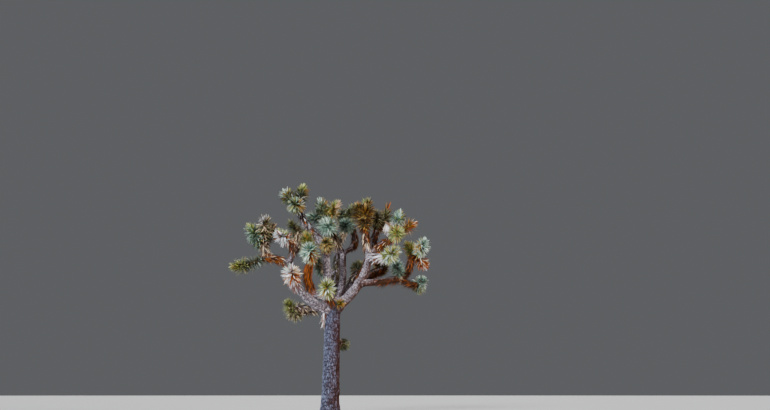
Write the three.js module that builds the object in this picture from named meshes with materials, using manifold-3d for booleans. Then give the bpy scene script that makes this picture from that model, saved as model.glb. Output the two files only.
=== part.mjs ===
// A joshua tree about 6.3 m high, rooted in level ground, with an open crown of leafy heads.
//
// The trunk, each limb and each mass of foliage is one closed solid. Millimetres, +Z up.
// The origin is the middle of the trunk's flat cut at ground level, and +X points to the
// right of a person who faces the tree along +Y. Headings are degrees from +X towards +Y,
// and a climb is degrees above level.

import * as THREE from 'three';
import { mergeVertices } from 'three/addons/utils/BufferGeometryUtils.js';
import Module from 'manifold-3d';

const { degToRad, radToDeg, lerp, clamp } = THREE.MathUtils;
const wasm = await Module();
wasm.setup();

// Clearances
const GAP = 0.3; // between pieces that meet
const LEAF_CLEARANCE = 6; // between a leaf and anything that it isn't rooted in

// Trunk
const TRUNK_HEIGHT = 2690; // from the ground to the middle of the fork
const TRUNK_RADIUS = 224; // above the root flare
const TRUNK_TOP_RADIUS = 186;
const TRUNK_LEAN = -0.012; // sideways shift for each millimetre of height
const TRUNK_SIDES = 15;
const TRUNK_RINGS = [0, 90, 220, 480, 1200, 2000, TRUNK_HEIGHT]; // heights, closer at the flare
const FLARE_REACH = 66; // how far the root flare stands out at the ground
const FLARE_HEIGHT = 150; // over which the flare dies away to a third
const ROOT_RIDGES = 5;
const ROOT_RIDGE_DEPTH = 0.07; // share of the radius at the ground

// Limbs
const TAPER = 0.8; // what is left of a limb's radius after a metre
const COLLAR = 0.22; // extra share of the radius where a limb leaves what carries it
const COLLAR_LENGTH = 2; // foot radii over which the collar dies away
const COLLAR_RING = 0.7; // where the ring that ends the collar lies, as a share of that length
const SUNK = 0.85; // how far into its carrier a foot starts, as a share of that radius
const SUNK_RADIUS = 0.62; // of the hidden foot, as a share of the foot radius
const LINE_STEPS = 12; // straight steps in a middle line
const RING_SPACING = 450; // between the rings of a limb's skin
const BOUGH_RADIUS = 90; // a limb with a thicker foot has more sides
const BOUGH_SIDES = 9;
const LIMB_SIDES = 7;
const ROUND_END_ANGLE = 48; // of the one ring in a round end

// Stems and twigs
const STEM_RADIUS = 46;
const STEM_SIDES = 4;
const STEM_FIT = 0.9; // a stem's foot, as a share of the limb's radius
const STEM_FOOT_LIMIT = 1.4; // and at most, as a share of STEM_RADIUS
const STEM_FOOT_END = 0.35; // share of a stem by which its foot has narrowed
const TWIG_LIFT = 25; // how far a level twig turns up along its length
const TWIG_SCATTER = 60; // degrees round the stem
const SPLAY_SHARES = [0.7, 1.3]; // least and most of the stated splay
const TWIG_SHARES = [0.75, 1.25]; // least and most of the stated twig length
const SKIRT_RADIUS = 0.3; // dead leaves round a stem, as shares of the head's reach
const SKIRT_START = 0.9; // behind the head's middle
const SKIRT_LIMIT = 0.6; // share of a stem before which no skirt starts
const BUD_RADIUS = 0.36; // the thick bud that the leaves stand out of

// Leaves: sizes are shares of the head's reach
const LEAVES = 10; // on one head
const LEAF_WIDTH = 0.24;
const LEAF_THICKNESS = 0.09;
const LEAF_SHOULDER = 0.28; // where along its length a leaf is widest
const FIRST_TILT = 14; // away from the head's axis, in its middle
const LAST_TILT = 118; // and at its rim
const TILT_GROWTH = 0.8; // below 1, the tilt grows fastest near the middle
const TILT_SCATTER = 14;
const TURN_SCATTER = 20;
const GOLDEN_ANGLE = 137.5;
const ROOT_SPREAD = 0.3; // how far back along the axis the rim's leaves are rooted
const MIDDLE_LEAF = 0.85; // length of the leaves in the middle
const LENGTH_SHARES = [0.95, 1.1]; // least and most of a leaf's stated length
const LEAF_CUTS = [1, 0.84, 0.7]; // lengths tried before a leaf is left out
const LEAF_TESTS = [0.5, 0.75, 1]; // where along a leaf its clearances are tested
const LEAF_SEEDS = 100; // added to a mass's seed for its leaves
const SLEEVE_TILT = 62; // of the leaves on the stem behind a head
const SLEEVE_SPACING = 0.34;
const SLEEVE_LEAF = 0.8; // length

// Each limb leaves the limb that it is on at a share of that limb's length. Its heading
// turns and its climb rises evenly from its foot to its tip.
// name: [on, at, heading, climb, length, turn, rise, foot radius]
const LIMBS = {
  bough_right:       ['trunk',              0.96,  -10,  30, 1820,  -25,  50, 148],
  bough_left:        ['trunk',              0.93, -160,  10, 1840,  -10,  65, 126],
  bough_left_saddle: ['trunk',             0.985, -160,  50,  600,   -5, -45,  96],
  bough_centre:      ['trunk',              0.99, -120,  55, 1580,    0,  35, 116],
  bough_middle:      ['trunk',              0.99,    0,  60, 1620,  150,  30, 110],
  bough_back:        ['trunk',              0.97,   80,  55, 2380,   15,   5, 124],
  bough_front:       ['trunk',              0.97, -100,  20,  820,   -5,   0,  76],
  limb_left_inner:   ['bough_left_saddle',     1, -150,  50, 1040,  100,   0,  78],
  limb_top_left:     ['bough_centre',          1,  155,  45, 1660,  -15,  15,  76],
  limb_middle_left:  ['bough_middle',          1, -150,  40,  860,   25,  35,  68],
  limb_middle_right: ['bough_middle',          1,   15,  30, 1180,  110,  40,  68],
  limb_back_left:    ['bough_back',         0.55,  120,  15,  840,    0,  20,  74],
  limb_back_far:     ['bough_back',            1,   65,  65, 1000,    5, -20,  68],
  bough_right_low:   ['bough_right',        0.55,  -10,  -5, 1200,   35,  30,  92],
  limb_low_outer:    ['bough_right_low',       1,  -20, -55,  460,   25,  60,  58],
  limb_low_rise:     ['bough_right_low',       1,   15,  35,  760,   30,  50,  62],
  limb_right_top:    ['bough_right',           1,  160,  65,  660,  -35,  25,  80],
  limb_right_up:     ['bough_right',           1,   30,  40,  980,   -5,   0,  78],
  limb_right_front:  ['bough_right',        0.92,  -55,   5,  740,   -5, -25,  70],
  limb_right_dark:   ['bough_right',        0.65,   45,  20, 1100,   20,   5,  78],
  limb_right_back:   ['bough_right',           1,   85,  30, 1620,  -20,  25,  78],
  limb_back_right:   ['bough_right',        0.12,   60,  50, 1780,   15, -15,  92],
  limb_left_low:     ['bough_left',          0.2,  135,  -5,  860,    5,  20,  76],
  limb_far_left:     ['bough_left',            1,  165,  40,  760,   20, -55,  68],
  limb_left_top:     ['limb_far_left',      0.75,  145,  60,  460,  -20, -10,  54],
  limb_left_up:      ['bough_left',            1,  -10,  55,  680,   55,  70,  66],
  limb_left_back:    ['limb_left_up',        0.3,   70,  45, 1120,   35, -10,  54],
  limb_trunk:        ['trunk',              0.68,   55, -10,  440,    0,   0,  58],
};

// Each mass of foliage is a stem from a limb. It carries one head of leaves, or forks into
// twigs with a head each. Reach is the radius of a head, and splay the twigs' angle to the
// stem, while spin turns them round it from the upper side.
// name: [on, at, heading, climb, stem length, reach, seed, tint, [heads, splay, spin, twig length]]
const MASSES = {
  foliage_far_left:     ['limb_far_left',       1, -175, -40, 640, 260, 30, 'blue_green'],
  foliage_left_top:     ['limb_left_top',       1,  160,  70, 120, 290, 14, 'yellow_green', [4, 50, 210, 460]],
  foliage_left_up:      ['limb_left_up',        1, -140,   5, 320, 260, 32, 'straw'],
  foliage_left_back:    ['limb_left_back',      1,   90,  55, 460, 270, 24, 'blue_green', [2, 85, 210, 280]],
  foliage_top_left:     ['limb_top_left',       1, -115,  50, 120, 280, 19, 'yellow_green', [3, 80, 150, 460]],
  foliage_left_inner:   ['limb_left_inner',     1, -105,  40, 120, 280, 20, 'yellow_green', [2, 35, 180, 400]],
  foliage_left_side:    ['bough_left',       0.75,  -95,   5, 440, 290, 36, 'straw'],
  foliage_left_low:     ['limb_left_low',       1,  135, -25, 200, 270, 26, 'olive', [2, 75, 220, 240]],
  foliage_front:        ['bough_front',         1,  -90,  20, 220, 270, 38, 'yellow_green'],
  foliage_centre:       ['bough_centre',        1,  -90, -10, 400, 230, 39, 'olive'],
  foliage_middle_left:  ['limb_middle_left',    1, -130,  15, 340, 290, 28, 'blue_green', [4, 75, 230, 400]],
  foliage_middle_right: ['limb_middle_right',   1, -125,  30, 280, 280, 19, 'blue_green', [3, 70, 160, 340]],
  foliage_back:         ['bough_back',          1,  175,  65, 600, 290, 42, 'blue_green'],
  foliage_back_left:    ['limb_back_left',      1,  115,  10, 220, 260, 19, 'olive', [2, 70, 190, 180]],
  foliage_back_far:     ['limb_back_far',       1,  100,  60, 340, 290,  6, 'blue_green', [2, 60, 240, 340]],
  foliage_right_top:    ['limb_right_top',      1, -155,  80, 180, 300, 14, 'olive', [3, 20, 90, 580]],
  foliage_right_back:   ['limb_right_back',     1,  -60,  65, 120, 290, 20, 'olive', [2, 50, 260, 500]],
  foliage_right_up:     ['limb_right_up',       1,  -70,  35, 240, 290,  7, 'blue_green', [4, 75, 210, 380]],
  foliage_right_front:  ['limb_right_front',    1,  -50,   5, 280, 270, 48, 'yellow_green'],
  foliage_low_rise:     ['limb_low_rise',       1,    0,  20, 200, 260,  3, 'olive', [3, 85, 160, 380]],
  foliage_low:          ['bough_right_low',     1, -125,  40, 400, 250, 50, 'blue_green'],
  foliage_low_outer:    ['limb_low_outer',      1,   45,  10, 160, 230, 24, 'blue_green', [2, 85, 310, 200]],
  foliage_right_dark:   ['limb_right_dark',     1,   95,  25, 180, 260,  5, 'olive', [2, 55, 250, 180]],
  foliage_back_right:   ['limb_back_right',     1,   80,  30, 420, 270, 53, 'olive'],
  foliage_trunk:        ['limb_trunk',          1,   60, -20, 220, 190, 54, 'blue_green'],
};

// Leaves that carry on back along the stem behind each head of a mass
const SLEEVES = { foliage_far_left: 5 };

const BARK = { color: 0x6f5d50, roughness: 0.95, metalness: 0 };
const TINTS = {
  blue_green: { color: 0x6f8a78, roughness: 0.7, metalness: 0 },
  yellow_green: { color: 0x93a050, roughness: 0.7, metalness: 0 },
  olive: { color: 0x7c7440, roughness: 0.75, metalness: 0 },
  straw: { color: 0xc0a87e, roughness: 0.85, metalness: 0 },
};

// Unit vector at a heading and a climb
function aim(heading, climb) {
  const turn = degToRad(heading);
  const rise = degToRad(climb);
  const level = Math.cos(rise);
  return new THREE.Vector3(level * Math.cos(turn), level * Math.sin(turn), Math.sin(rise));
}

// The middle line of a limb or stem, whose heading and climb change evenly along it
function growLine(foot, { heading, climb, length, turn = 0, rise = 0 }) {
  const aimAt = (share) => aim(heading + turn * share, climb + rise * share);
  const points = [foot.clone()];
  for (let i = 0; i < LINE_STEPS; i += 1) {
    const step = aimAt((i + 0.5) / LINE_STEPS).multiplyScalar(length / LINE_STEPS);
    points.push(points[i].clone().add(step));
  }
  const pointAt = (share) => {
    const i = clamp(Math.floor(share * LINE_STEPS), 0, LINE_STEPS - 1);
    return points[i].clone().lerp(points[i + 1], share * LINE_STEPS - i);
  };
  const axesAt = (share) => {
    const held = clamp(share, 0, 1);
    const along = aimAt(held);
    const side = aim(heading + turn * held + 90, 0);
    return { side, up: along.clone().cross(side), along };
  };
  return { length, points, pointAt, axesAt };
}

// A seeded row of numbers between 0 and 1
function dice(seed) {
  const modulus = 2147483647;
  const factor = 16807;
  const spread = 811290697; // sets near seeds far apart
  let state = (seed * spread) % modulus;
  return () => {
    state = (state * factor) % modulus;
    return state / modulus;
  };
}

// A closed geometry as a solid that can be cut and joined
function toSolid(geometry) {
  const bare = new THREE.BufferGeometry();
  bare.setAttribute('position', geometry.attributes.position);
  bare.setIndex(geometry.index);
  const merged = mergeVertices(bare, 1e-3);
  const corners = merged.index.array;
  const faces = [];
  for (let i = 0; i < corners.length; i += 3) {
    const [a, b, c] = corners.slice(i, i + 3);
    if (a !== b && b !== c && c !== a) faces.push(a, b, c);
  }
  return new wasm.Manifold(new wasm.Mesh({
    numProp: 3,
    vertProperties: new Float32Array(merged.attributes.position.array),
    triVerts: new Uint32Array(faces),
  }));
}

// A turned solid with a profile of [distance along the line, radius], bent onto the line.
// With a seat, its foot is a flat face held just clear of the flat end of that other line.
function turnOnLine(line, profile, sides, seat = null) {
  const outline = profile.map(([distance, radius]) => new THREE.Vector2(radius, distance));
  const geometry = new THREE.LatheGeometry(outline, sides);
  const { position } = geometry.attributes;
  for (let i = 0; i < position.count; i += 1) {
    const distance = position.getY(i);
    const seated = seat && distance === 0;
    const { side, up, along } = seated ? seat.axesAt(1) : line.axesAt(distance / line.length);
    const point = line.pointAt(distance / line.length)
      .addScaledVector(along, seated ? GAP : 0)
      .addScaledVector(side, position.getX(i))
      .addScaledVector(up, -position.getZ(i));
    position.setXYZ(i, point.x, point.y, point.z);
  }
  return toSolid(geometry);
}

// The last rows of a profile that ends in a dome
function roundEnd(length, radius) {
  const angle = degToRad(ROUND_END_ANGLE);
  return [
    [length + radius * Math.sin(angle), radius * Math.cos(angle)],
    [length + radius, 0],
  ];
}

// The trunk: its rings lie level, so that the cut at the ground is flat
function makeTrunk(grow = 0) {
  const radiusAt = (height) => {
    const flare = FLARE_REACH * Math.exp(-height / FLARE_HEIGHT);
    return lerp(TRUNK_RADIUS, TRUNK_TOP_RADIUS, height / TRUNK_HEIGHT) + flare + grow;
  };
  const profile = [
    [0, 0],
    ...TRUNK_RINGS.map((height) => [height, radiusAt(height)]),
    ...roundEnd(TRUNK_HEIGHT, radiusAt(TRUNK_HEIGHT)),
  ];
  const outline = profile.map(([height, radius]) => new THREE.Vector2(radius, height));
  const geometry = new THREE.LatheGeometry(outline, TRUNK_SIDES);
  const { position } = geometry.attributes;
  for (let i = 0; i < position.count; i += 1) {
    const [x, height, z] = [position.getX(i), position.getY(i), position.getZ(i)];
    const fade = Math.exp(-height / FLARE_HEIGHT);
    const ridge = 1 + ROOT_RIDGE_DEPTH * fade * Math.cos(ROOT_RIDGES * Math.atan2(z, x));
    position.setXYZ(i, x * ridge + TRUNK_LEAN * height, -z * ridge, height);
  }
  return toSolid(geometry);
}

// A limb: its foot starts inside what carries it, and a collar shows where it comes out
function makeLimb({ line, foot, tip, sunk, blunt }, grow = 0) {
  const radiusAt = (distance) => {
    const collar = Math.max(0, 1 - (distance - sunk) / (COLLAR_LENGTH * foot));
    return lerp(foot, tip, distance / line.length) + COLLAR * foot * collar ** 2 + grow;
  };
  const collarEnd = Math.min(COLLAR_RING * COLLAR_LENGTH * foot, (line.length - sunk) / 2);
  const rest = line.length - sunk - collarEnd;
  const count = Math.max(1, Math.round(rest / RING_SPACING));
  const rings = [sunk, sunk + collarEnd];
  for (let i = 1; i <= count; i += 1) rings.push(sunk + collarEnd + (rest * i) / count);
  const profile = [
    [0, 0],
    [0, SUNK_RADIUS * foot],
    ...rings.map((distance) => [distance, radiusAt(distance)]),
    ...(blunt ? [[line.length, 0]] : roundEnd(line.length, tip + grow)),
  ];
  return turnOnLine(line, profile, foot > BOUGH_RADIUS ? BOUGH_SIDES : LIMB_SIDES);
}

// A stem's skin from its foot, over its skirt of dead leaves, to the bud of its head
function makeStem({ line, reach }, footRadius, seat) {
  const { length } = line;
  return turnOnLine(line, [
    [0, 0],
    [0, footRadius],
    [Math.min(STEM_FOOT_END * length, 2 * footRadius), Math.min(STEM_RADIUS, footRadius)],
    [Math.max(SKIRT_LIMIT * length, length - SKIRT_START * reach), SKIRT_RADIUS * reach],
    [length, BUD_RADIUS * reach],
    [length + BUD_RADIUS * reach, 0],
  ], STEM_SIDES, seat);
}

// Whether a limb's tip carries one mass and nothing else, so that it can end in a flat face
function isBlunt(name) {
  const isOnTip = ([on, at]) => on === name && at === 1;
  return !Object.values(LIMBS).some(isOnTip) && Object.values(MASSES).filter(isOnTip).length === 1;
}

// The limbs' lines and radii, worked out from the trunk outwards
const limbs = new Map();
limbs.set('trunk', {
  line: growLine(new THREE.Vector3(), {
    heading: 180,
    climb: 90 + radToDeg(Math.atan(TRUNK_LEAN)),
    length: TRUNK_HEIGHT,
  }),
  foot: TRUNK_RADIUS,
  tip: TRUNK_TOP_RADIUS,
});
for (const [name, row] of Object.entries(LIMBS)) {
  const [on, at, heading, climb, length, turn, rise, foot] = row;
  const carrier = limbs.get(on);
  limbs.set(name, {
    line: growLine(carrier.line.pointAt(at), { heading, climb, length, turn, rise }),
    foot,
    tip: foot * TAPER ** (length / 1000),
    sunk: SUNK * lerp(carrier.foot, carrier.tip, at),
    blunt: isBlunt(name),
  });
}

// How far a twig turns up along its length: all the way if it is level, not if it is upright
function liftOf(climb) {
  return TWIG_LIFT * Math.max(0, 1 - climb / 90);
}

// The twigs' lines of a forked stem, grown by the seeded rule
function growTwigs(stem, [count, splay, spin, twigLength], roll) {
  const { side, up, along } = stem.axesAt(1);
  return Array.from({ length: count }, (_, i) => {
    const around = degToRad(spin + (360 * i) / count + (roll() - 0.5) * TWIG_SCATTER);
    const apart = degToRad(splay * lerp(...SPLAY_SHARES, roll()));
    const length = twigLength * lerp(...TWIG_SHARES, roll());
    const way = along.clone().multiplyScalar(Math.cos(apart))
      .addScaledVector(up, Math.cos(around) * Math.sin(apart))
      .addScaledVector(side, Math.sin(around) * Math.sin(apart));
    const climb = radToDeg(Math.asin(way.z));
    const heading = radToDeg(Math.atan2(way.y, way.x));
    return growLine(stem.pointAt(1), { heading, climb, length, rise: liftOf(climb) });
  });
}

// Each mass's stem, its heads and the limb that carries it
const masses = new Map();
for (const [name, row] of Object.entries(MASSES)) {
  const [on, at, heading, climb, length, reach, seed, tint, fork] = row;
  const carrier = limbs.get(on);
  const foot = carrier.line.pointAt(at);
  const limbRadius = lerp(carrier.foot, carrier.tip, at);
  const footRadius = STEM_FIT * Math.min(limbRadius, STEM_FOOT_LIMIT * STEM_RADIUS);
  const rise = fork ? 0 : liftOf(climb);
  const stem = growLine(foot, { heading, climb, length, rise });
  const lines = fork ? growTwigs(stem, fork, dice(seed)) : [stem];
  const heads = lines.map((line) => ({ line, reach, centre: line.pointAt(1) }));
  const seat = carrier.blunt && at === 1 ? carrier.line : null;
  masses.set(name, { on, foot, footRadius, seat, forked: Boolean(fork), stem, heads, seed, tint });
}

// Distance from a point to a middle line
function distanceTo(line, point) {
  const segment = new THREE.Line3();
  const nearest = new THREE.Vector3();
  let least = Infinity;
  for (let i = 0; i < LINE_STEPS; i += 1) {
    segment.set(line.points[i], line.points[i + 1]).closestPointToPoint(point, true, nearest);
    least = Math.min(least, nearest.distanceTo(point));
  }
  return least;
}

// Whether a leaf stays in its own head's space, on its side of the plane halfway to each
// head of another mass, and clear of all limbs and of the other masses' stems
function leafIsClear(name, head, root, tip) {
  return LEAF_TESTS.every((share) => {
    const point = root.clone().lerp(tip, share);
    const halfWidth = 0.5 * LEAF_WIDTH * head.reach * ((1 - share) / (1 - LEAF_SHOULDER));
    const margin = halfWidth + LEAF_CLEARANCE;
    if ([...limbs.values()].some(({ line, foot }) => distanceTo(line, point) < foot + margin)) return false;
    return [...masses].every(([other, { stem, footRadius, heads }]) => {
      if (other === name) return true;
      if (distanceTo(stem, point) < footRadius + margin) return false;
      return heads.every(({ line, centre, reach }) => {
        const apart = centre.distanceTo(head.centre);
        const excess = point.distanceToSquared(centre) - point.distanceToSquared(head.centre);
        return excess / (2 * apart) > margin && distanceTo(line, point) > SKIRT_RADIUS * reach + margin;
      });
    });
  });
}

// One leaf: a flat dagger with a keel along its back, widest at its shoulder
function makeLeaf(root, way, across, length, reach) {
  const outline = [[0, 0], [1, LEAF_SHOULDER], [0, 1]].map(([x, y]) => new THREE.Vector2(x, y));
  const geometry = new THREE.LatheGeometry(outline, 3);
  geometry.scale(0.5 * LEAF_WIDTH * reach, length, 0.5 * LEAF_THICKNESS * reach);
  const back = across.clone().cross(way);
  geometry.applyMatrix4(new THREE.Matrix4().makeBasis(across, way, back).setPosition(root));
  return toSolid(geometry);
}

// The leaves of one head, set out by the golden angle from its middle to its rim, and then
// those of the sleeve behind it
function makeLeaves(name, head, sleeve, roll) {
  const { line, reach } = head;
  const leaves = [];
  for (let i = 0; i < LEAVES + sleeve; i += 1) {
    const share = Math.min((i + 0.5) / LEAVES, 1);
    const behind = i < LEAVES ? ROOT_SPREAD * share : ROOT_SPREAD + SLEEVE_SPACING * (i - LEAVES + 1);
    const place = 1 - (behind * reach) / line.length;
    const { side, up, along } = line.axesAt(place);
    const level = i < LEAVES ? lerp(FIRST_TILT, LAST_TILT, share ** TILT_GROWTH) : SLEEVE_TILT;
    const tilt = degToRad(level + (roll() - 0.5) * TILT_SCATTER);
    const around = degToRad(i * GOLDEN_ANGLE + (roll() - 0.5) * TURN_SCATTER);
    const outward = side.clone().multiplyScalar(Math.sin(around)).addScaledVector(up, Math.cos(around));
    const across = side.clone().multiplyScalar(-Math.cos(around)).addScaledVector(up, Math.sin(around));
    const way = along.clone().multiplyScalar(Math.cos(tilt)).addScaledVector(outward, Math.sin(tilt));
    const cutBack = i < LEAVES ? lerp(MIDDLE_LEAF, 1, share) : SLEEVE_LEAF;
    const length = reach * cutBack * lerp(...LENGTH_SHARES, roll());
    const root = line.pointAt(place);
    const cut = LEAF_CUTS.find((part) => (
      leafIsClear(name, head, root, root.clone().addScaledVector(way, length * part))
    ));
    if (cut) leaves.push(makeLeaf(root, way, across, length * cut, reach));
  }
  return leaves;
}

// One mass: its stem, twigs and leaves fused together
function makeMass(name, { footRadius, seat, forked, stem, heads, seed }) {
  const roll = dice(seed + LEAF_SEEDS);
  const pieces = [];
  if (forked) {
    const profile = [[0, 0], [0, footRadius], [stem.length, footRadius]];
    pieces.push(turnOnLine(stem, [...profile, ...roundEnd(stem.length, footRadius)], STEM_SIDES, seat));
  }
  for (const head of heads) {
    pieces.push(forked ? makeStem(head, STEM_FIT * footRadius) : makeStem(head, footRadius, seat));
    pieces.push(...makeLeaves(name, head, SLEEVES[name] ?? 0, roll));
  }
  return pieces.reduce((joined, piece) => joined.add(piece));
}

// The largest piece of a solid, once loose scraps are dropped
function largest(solid) {
  return solid.decompose().reduce((best, part) => (part.volume() > best.volume() ? part : best));
}

// A solid less those of the clearances that its box meets
function cutBy(solid, clearances) {
  const { min, max } = solid.boundingBox();
  const near = clearances.filter((clearance) => {
    const box = clearance.boundingBox();
    return [0, 1, 2].every((i) => box.min[i] < max[i] && min[i] < box.max[i]);
  });
  return largest(near.reduce((rest, clearance) => rest.subtract(clearance), solid));
}

// Each limb gives way to the limbs before it, and each mass to all limbs
const solids = new Map([['trunk', makeTrunk()]]);
const clearances = new Map([['trunk', makeTrunk(GAP)]]);
for (const name of Object.keys(LIMBS)) {
  solids.set(name, cutBy(makeLimb(limbs.get(name)), [...clearances.values()]));
  clearances.set(name, makeLimb(limbs.get(name), GAP));
}
for (const [name, mass] of masses) {
  const met = [...clearances].filter(([limb]) => !(mass.seat && limb === mass.on));
  solids.set(name, cutBy(makeMass(name, mass), met.map(([, clearance]) => clearance)));
}

// A named mesh whose place is its own foot
function toMesh(name, foot, material) {
  const { vertProperties, triVerts } = solids.get(name).getMesh();
  const geometry = new THREE.BufferGeometry();
  geometry.setAttribute('position', new THREE.BufferAttribute(vertProperties, 3));
  geometry.setIndex(new THREE.BufferAttribute(triVerts, 1));
  geometry.translate(-foot.x, -foot.y, -foot.z);
  geometry.computeVertexNormals();
  const mesh = new THREE.Mesh(geometry, material);
  mesh.name = name;
  mesh.position.copy(foot);
  return mesh;
}

const wood = new THREE.Group();
const bark = new THREE.MeshStandardMaterial(BARK);
for (const [name, { line }] of limbs) wood.add(toMesh(name, line.points[0], bark));

const foliage = new THREE.Group();
for (const [name, { foot, tint }] of masses) {
  foliage.add(toMesh(name, foot, new THREE.MeshStandardMaterial(TINTS[tint])));
}

const tree = new THREE.Group();
tree.add(wood, foliage);

export default tree;
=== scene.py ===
"""A joshua tree on a plain floor, with its bark, its stems and its living and dead leaves.

The tree grows here by the same rule as its solids, and finer. Metres, +Z up. Headings are
degrees from +X towards +Y, and a climb is degrees above level.
"""

import math
from collections import defaultdict, namedtuple

import bmesh
import bpy
import numpy as np
from mathutils import Matrix, Vector, noise


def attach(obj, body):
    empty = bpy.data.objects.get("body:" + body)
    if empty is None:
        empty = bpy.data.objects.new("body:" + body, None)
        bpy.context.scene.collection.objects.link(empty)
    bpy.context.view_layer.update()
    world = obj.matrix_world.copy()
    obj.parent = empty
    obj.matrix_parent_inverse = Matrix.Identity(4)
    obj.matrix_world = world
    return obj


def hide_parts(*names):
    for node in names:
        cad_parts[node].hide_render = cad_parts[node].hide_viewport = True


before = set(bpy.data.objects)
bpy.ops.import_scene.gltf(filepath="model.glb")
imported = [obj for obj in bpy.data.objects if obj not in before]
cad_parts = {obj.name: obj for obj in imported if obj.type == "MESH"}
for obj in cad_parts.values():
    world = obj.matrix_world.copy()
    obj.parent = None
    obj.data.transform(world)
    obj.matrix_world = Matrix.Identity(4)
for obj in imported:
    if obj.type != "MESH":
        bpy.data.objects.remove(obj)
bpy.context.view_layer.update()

# Trunk
# One stout column of fibrous wood under corky bark, which has cracked into small plates.
# It leans a little, and spreads in low ridges where its roots leave it at the ground.
TRUNK_HEIGHT = 2.69
TRUNK_RADIUS = 0.224
TRUNK_TOP_RADIUS = 0.186
TRUNK_LEAN = -0.012
BURIED = 0.06  # made below the ground, then cut off level with it
FLARE_REACH = 0.066
FLARE_HEIGHT = 0.15
ROOT_RIDGES = 5
ROOT_RIDGE_DEPTH = 0.07  # in the trunk's radii
LINE_STEPS = 12
TUBE_SIDES = 28
TUBE_RING = 0.05  # between the rings of a tube
END_RINGS = 5  # of a domed end
END_GAP = 0.2  # how far the last of them stays from its top, in their steps
TRUNK_VOXEL = 0.0074
SMOOTHINGS = 3
SCRAP = 200  # points: what has fewer isn't part of the tree

# Radii at the foot and tip of a line, and how much of it lies inside what carries it
Limb = namedtuple("Limb", "line foot tip sunk")


def aim(heading, climb):
    """Unit vectors at headings and climbs."""
    turn, rise = np.radians(heading), np.radians(climb)
    level = np.cos(rise)
    return np.stack([level * np.cos(turn), level * np.sin(turn), np.sin(rise) + 0 * turn], axis=-1)


class Line:
    """The middle line of a limb or stem, whose heading and climb change evenly along it."""

    def __init__(self, foot, heading, climb, length, turn=0.0, rise=0.0):
        self.heading, self.climb, self.length = heading, climb, length
        self.turn, self.rise = turn, rise
        middles = (np.arange(LINE_STEPS) + 0.5) / LINE_STEPS
        steps = self.aim_at(middles) * length / LINE_STEPS
        self.points = np.vstack([foot, foot + np.cumsum(steps, axis=0)])

    def aim_at(self, share):
        return aim(self.heading + self.turn * share, self.climb + self.rise * share)

    def point_at(self, share):
        """Points at shares of the length, straight on past both ends."""
        share = np.asarray(share, float)
        i = np.clip(np.floor(share * LINE_STEPS).astype(int), 0, LINE_STEPS - 1)
        step = self.points[i + 1] - self.points[i]
        return self.points[i] + step * (share * LINE_STEPS - i)[..., None]

    def axes_at(self, share):
        """The directions sideways, upwards and along at shares of the length."""
        held = np.clip(np.asarray(share, float), 0, 1)
        along = self.aim_at(held)
        side = aim(self.heading + self.turn * held + 90, 0 * held)
        return side, np.cross(along, side), along


def trunk_radius(height):
    """The trunk's radius without its root ridges."""
    share = height / TRUNK_HEIGHT
    straight = TRUNK_RADIUS + (TRUNK_TOP_RADIUS - TRUNK_RADIUS) * share
    return straight + FLARE_REACH * np.exp(-np.maximum(height, 0) / FLARE_HEIGHT)


def ring_place(point, side, up, along, radius):
    """The matrix that puts a unit circle round a point, across the direction along."""
    columns = [radius * side, radius * up, radius * along, point]
    return Matrix([[column[i] for column in columns] for i in range(3)] + [[0, 0, 0, 1]])


def extrude(bm, edges):
    """Extrudes a ring of edges. Gives the points and the edges of the new ring."""
    grown = bmesh.ops.extrude_edge_only(bm, edges=edges)["geom"]
    ring = [g for g in grown if isinstance(g, bmesh.types.BMVert)]
    return ring, [g for g in grown if isinstance(g, bmesh.types.BMEdge) and len(g.link_faces) == 1]


def grow_tube(bm, places, sides=TUBE_SIDES):
    """A closed tube through circles at the places, each made from the last by an extrusion."""
    bmesh.ops.create_circle(bm, cap_ends=True, radius=1, segments=sides, matrix=places[0])
    bm.verts.ensure_lookup_table()
    around = dict.fromkeys(edge for vert in bm.verts[-sides:] for edge in vert.link_edges)
    edges = [edge for edge in around if len(edge.link_faces) == 1]
    for last, place in zip(places, places[1:]):
        ring, edges = extrude(bm, edges)
        bmesh.ops.transform(bm, matrix=place @ last.inverted(), verts=ring)
    bmesh.ops.holes_fill(bm, edges=edges, sides=sides)


def round_end(line, radius):
    """Places of the circles of a domed end."""
    side, up, along = line.axes_at(1)
    places = []
    for i in range(1, END_RINGS + 1):
        angle = math.pi / 2 * i / (END_RINGS + END_GAP)
        point = line.point_at(1) + along * radius * math.sin(angle)
        places.append(ring_place(point, side, up, along, radius * math.cos(angle)))
    return places


trunk_climb = 90 + math.degrees(math.atan(TRUNK_LEAN))
trunk_line = Line(np.zeros(3), 180, trunk_climb, TRUNK_HEIGHT)
limbs = {"trunk": Limb(trunk_line, TRUNK_RADIUS, TRUNK_TOP_RADIUS, 0)}

bm = bmesh.new()
places = [
    ring_place(np.array([TRUNK_LEAN * height, 0, height]), *np.eye(3), trunk_radius(height))
    for height in np.linspace(-BURIED, TRUNK_HEIGHT, round(TRUNK_HEIGHT / TUBE_RING))
]
grow_tube(bm, places + round_end(trunk_line, TRUNK_TOP_RADIUS), 2 * TUBE_SIDES)


def put_in_scene(name, data):
    """A new object at the origin."""
    thing = bpy.data.objects.new(name, data)
    bpy.context.scene.collection.objects.link(thing)
    return thing


def sort_faces(bm):
    """Puts faces in order of place, because each run extrudes them in an order of its own."""
    order = sorted(bm.faces, key=lambda face: tuple(face.calc_center_median()))
    bm.faces.sort(key={face: i for i, face in enumerate(order)}.get)


def new_piece(name, bm):
    """A new object with the mesh of a bmesh, which is used up."""
    sort_faces(bm)
    bmesh.ops.recalc_face_normals(bm, faces=bm.faces)
    mesh = bpy.data.meshes.new(name)
    bm.to_mesh(mesh)
    bm.free()
    return put_in_scene(name, mesh)


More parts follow.
